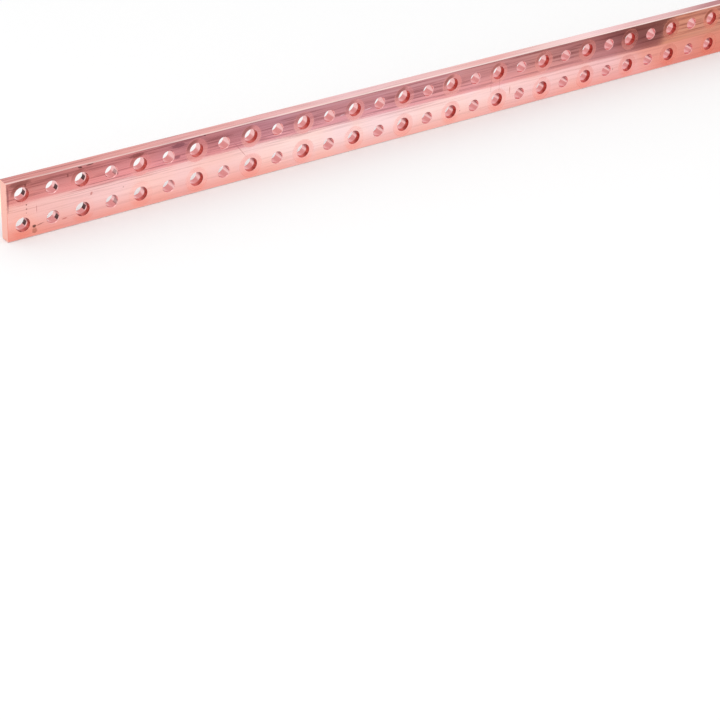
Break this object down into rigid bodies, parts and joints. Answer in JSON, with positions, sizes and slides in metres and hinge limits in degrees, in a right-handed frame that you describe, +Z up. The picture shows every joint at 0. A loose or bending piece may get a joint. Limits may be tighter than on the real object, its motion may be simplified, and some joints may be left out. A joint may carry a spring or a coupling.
{
  "type": "rack grounding busbar",
  "caption": "Solid copper flat bar that gathers ground wires in a rack, with two rows of bolt holes whose columns are flared and plain by turns.",
  "frame": {"origin": "middle of the long bottom edge that the bar stands on", "axes": "+X along the bar, +Y through its thickness towards the back face, +Z up; the front face with the flared mouths looks to -Y"},
  "size_m": [0.9144, 0.01, 0.05],
  "materials": {
    "copper": "mill-finished bare copper, satin, with fine rolling streaks along the bar"
  },
  "bodies": {
    "root": {"busbar": "copper"}
  },
  "joints": []
}
